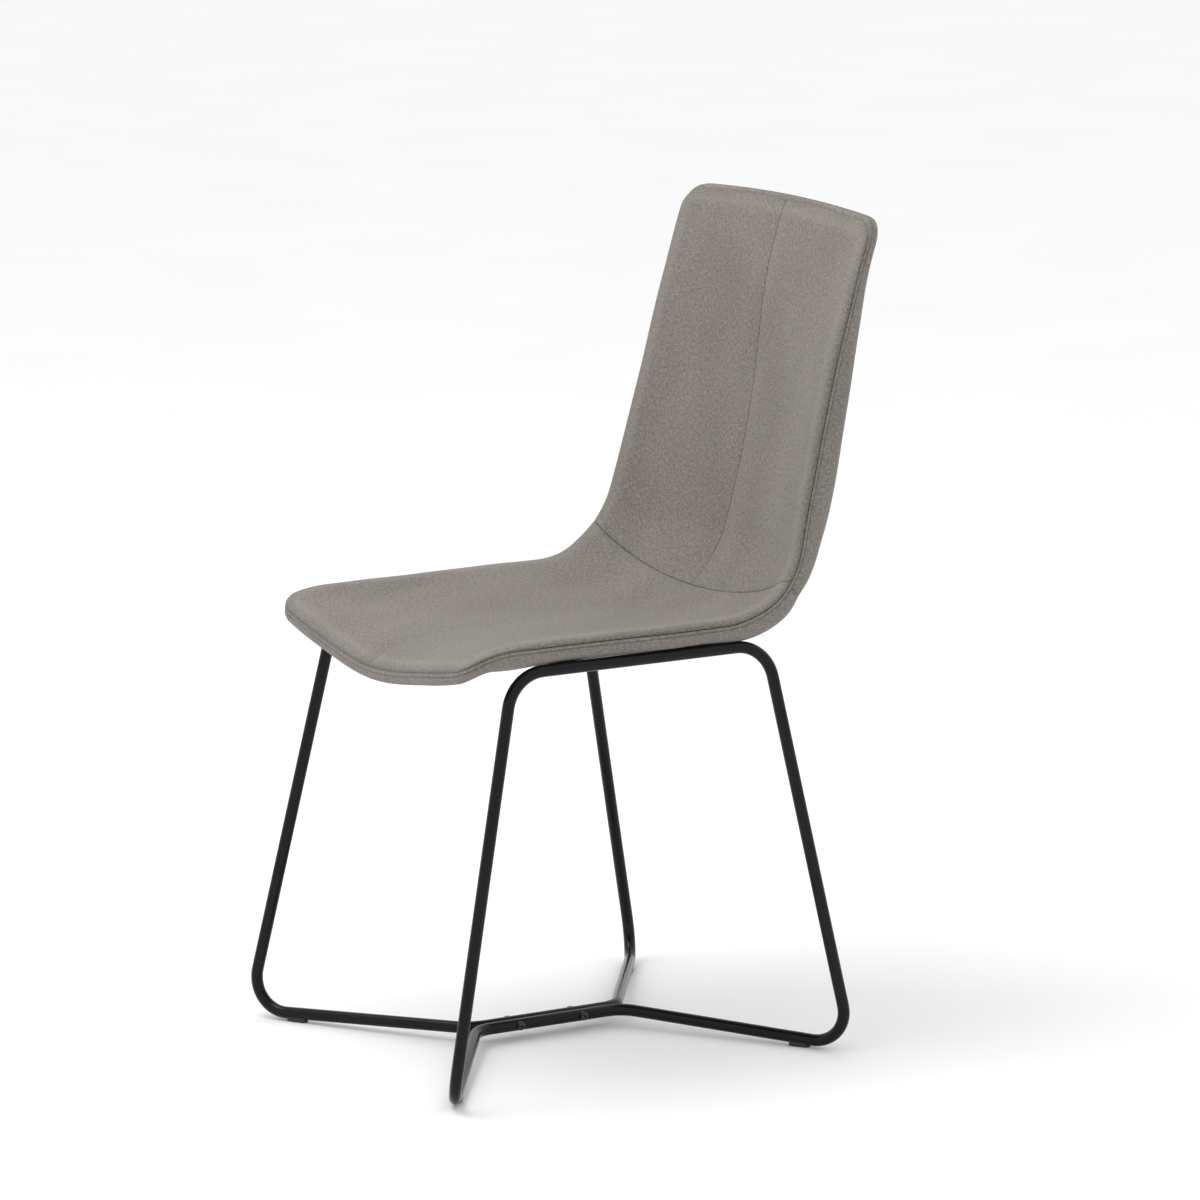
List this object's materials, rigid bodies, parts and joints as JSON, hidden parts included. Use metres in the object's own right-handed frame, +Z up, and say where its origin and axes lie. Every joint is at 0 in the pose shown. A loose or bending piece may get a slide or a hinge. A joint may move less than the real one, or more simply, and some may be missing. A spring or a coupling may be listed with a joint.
{
  "type": "dining chair",
  "caption": "Upholstered dining chair: a dished, moulded shell seat and back in woven fabric on a pair of bent-tube loop legs bolted together at a low centre section.",
  "frame": {"origin": "on the floor, in the middle of the chair's bounding box", "axes": "+Z up; the sitter faces -Y, so the back stands at +Y; +X is the sitter's left"},
  "size_m": [0.4656, 0.5425, 0.8715],
  "materials": {
    "tube_paint": "satin black powder coat",
    "fixing_steel": "black oxide steel, worn bright on the edges",
    "tee_nut_steel": "zinc plated steel",
    "glide_plastic": "moulded black nylon",
    "plywood": "bent beech plywood, unfinished",
    "foam": "cut polyurethane foam",
    "wadding": "polyester wadding",
    "cover_fabric": "woven greige melange upholstery",
    "welt_fabric": "the same fabric, sewn as a flat welt"
  },
  "bodies": {
    "root": {"left_leg_loop": "tube_paint", "right_leg_loop": "tube_paint", "front_left_plate": "tube_paint", "front_right_plate": "tube_paint", "rear_left_plate": "tube_paint", "rear_right_plate": "tube_paint", "centre_joint_bolts": "fixing_steel", "centre_joint_washers": "fixing_steel", "centre_joint_nuts": "fixing_steel", "seat_bolts": "fixing_steel", "seat_bolt_washers": "fixing_steel", "tee_nuts": "tee_nut_steel", "front_left_glide": "glide_plastic", "front_right_glide": "glide_plastic", "rear_left_glide": "glide_plastic", "rear_right_glide": "glide_plastic", "plywood_shell": "plywood", "seat_foam": "foam", "back_foam": "foam", "rear_wadding": "wadding", "seat_cover_panel": "cover_fabric", "back_cover_left": "cover_fabric", "back_cover_right": "cover_fabric", "rear_back_cover": "cover_fabric", "underside_cover": "cover_fabric", "perimeter_welt": "welt_fabric"}
  },
  "joints": []
}
